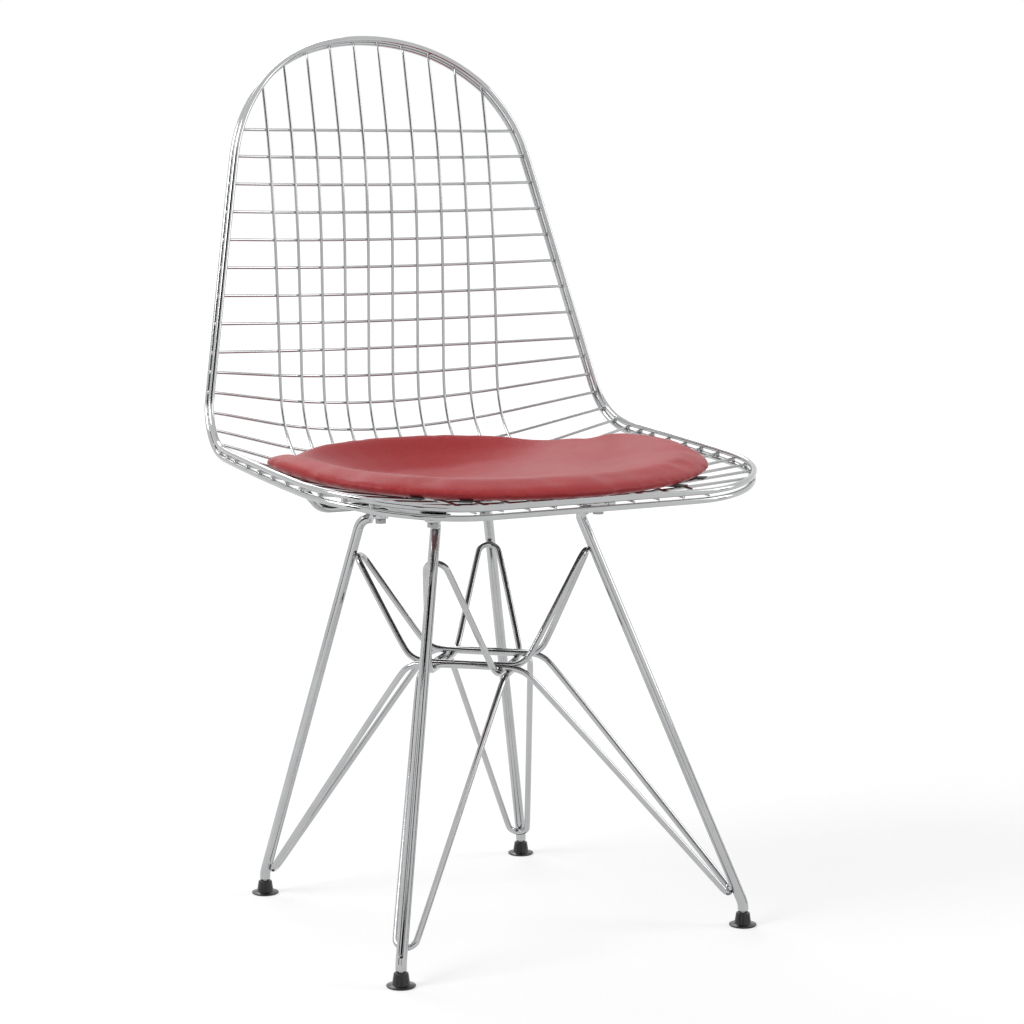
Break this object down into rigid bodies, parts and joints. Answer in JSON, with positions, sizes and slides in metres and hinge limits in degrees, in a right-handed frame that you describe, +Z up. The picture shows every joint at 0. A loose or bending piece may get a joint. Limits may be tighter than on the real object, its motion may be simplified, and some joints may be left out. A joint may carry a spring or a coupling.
{
  "type": "wire mesh side chair",
  "caption": "Side chair with a bucket seat of welded chromed wire mesh, a red round seat pad and a base of splayed rods braced by crossing wire loops.",
  "frame": {"origin": "centre of the overall box, on the floor under the glides", "axes": "+Z up, the sitter faces -Y, +X to the sitter's left"},
  "size_m": [0.4698, 0.4252, 0.83],
  "materials": {
    "chromed_wire": "bright polished chrome plating on drawn steel wire",
    "chromed_base": "bright polished chrome plating on steel rod",
    "pin_steel": "bright zinc plated",
    "glide_plastic": "satin black",
    "leatherette": "satin red leatherette with a fine grain",
    "strap_webbing": "black webbing"
  },
  "bodies": {
    "chair": {"rim_inner": "chromed_wire", "rim_outer": "chromed_wire", "lengthwise_wire_01": "chromed_wire", "lengthwise_wire_02": "chromed_wire", "lengthwise_wire_03": "chromed_wire", "lengthwise_wire_04": "chromed_wire", "lengthwise_wire_05": "chromed_wire", "lengthwise_wire_06": "chromed_wire", "lengthwise_wire_07": "chromed_wire", "lengthwise_wire_08": "chromed_wire", "lengthwise_wire_09": "chromed_wire", "lengthwise_wire_10": "chromed_wire", "cross_wire_01": "chromed_wire", "cross_wire_02": "chromed_wire", "cross_wire_03": "chromed_wire", "cross_wire_04": "chromed_wire", "cross_wire_05": "chromed_wire", "cross_wire_06": "chromed_wire", "cross_wire_07": "chromed_wire", "cross_wire_08": "chromed_wire", "cross_wire_09": "chromed_wire", "cross_wire_10": "chromed_wire", "cross_wire_11": "chromed_wire", "cross_wire_12": "chromed_wire", "cross_wire_13": "chromed_wire", "cross_wire_14": "chromed_wire", "cross_wire_15": "chromed_wire", "cross_wire_16": "chromed_wire", "cross_wire_17": "chromed_wire", "cross_wire_18": "chromed_wire", "cross_wire_19": "chromed_wire", "cross_wire_20": "chromed_wire", "cross_wire_21": "chromed_wire", "cross_wire_22": "chromed_wire", "cross_wire_23": "chromed_wire", "cross_wire_24": "chromed_wire", "cross_wire_25": "chromed_wire", "support_rod_front": "chromed_base", "support_rod_rear": "chromed_base", "mounting_plates": "chromed_base", "mounting_bolts": "chromed_base", "leg_front_left": "chromed_base", "leg_front_right": "chromed_base", "leg_rear_left": "chromed_base", "leg_rear_right": "chromed_base", "upper_loop_left": "chromed_base", "upper_loop_right": "chromed_base", "lower_loop_left": "chromed_base", "lower_loop_right": "chromed_base", "glide_pins": "pin_steel", "seat_pad": "leatherette", "pad_straps": "strap_webbing"},
    "glide_front_left_body": {"glide_front_left": "glide_plastic"},
    "glide_front_right_body": {"glide_front_right": "glide_plastic"},
    "glide_rear_left_body": {"glide_rear_left": "glide_plastic"},
    "glide_rear_right_body": {"glide_rear_right": "glide_plastic"}
  },
  "joints": [
    {"name": "glide_front_left_tilt", "type": "hinge", "parent": "chair", "child": "glide_front_left_body", "pos_m": [0.184, -0.1839, 0.0076], "axis": [0.7069, 0.7073, 0], "range_deg": [-8, 8]},
    {"name": "glide_front_right_tilt", "type": "hinge", "parent": "chair", "child": "glide_front_right_body", "pos_m": [-0.184, -0.1839, 0.0076], "axis": [0.7069, -0.7073, 0], "range_deg": [-8, 8]},
    {"name": "glide_rear_left_tilt", "type": "hinge", "parent": "chair", "child": "glide_rear_left_body", "pos_m": [0.147, 0.149, 0.0076], "axis": [-0.7119, 0.7023, 0], "range_deg": [-8, 8]},
    {"name": "glide_rear_right_tilt", "type": "hinge", "parent": "chair", "child": "glide_rear_right_body", "pos_m": [-0.147, 0.149, 0.0076], "axis": [-0.7119, -0.7023, 0], "range_deg": [-8, 8]}
  ]
}
